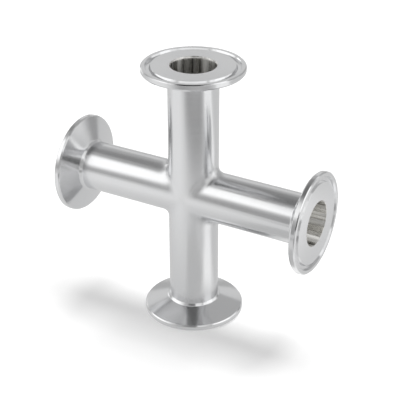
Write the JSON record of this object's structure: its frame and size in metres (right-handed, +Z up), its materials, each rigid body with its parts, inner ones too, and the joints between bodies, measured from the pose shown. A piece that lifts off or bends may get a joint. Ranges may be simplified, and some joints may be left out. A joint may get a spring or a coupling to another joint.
{
  "type": "sanitary cross",
  "caption": "Sanitary cross: polished steel tubes crossing at right angles with a blended junction, each end a grooved clamp ferrule.",
  "frame": {"origin": "the point where the axes of the two runs cross, which is also the middle of the part", "axes": "+Z up along the standing run, +X along the level run to the right, +Y away from the viewer"},
  "size_m": [0.1344, 0.0506, 0.1344],
  "materials": {
    "polished_steel": "finely polished stainless steel, satin on the sealing faces"
  },
  "bodies": {
    "root": {"cross_body": "polished_steel"}
  },
  "joints": []
}
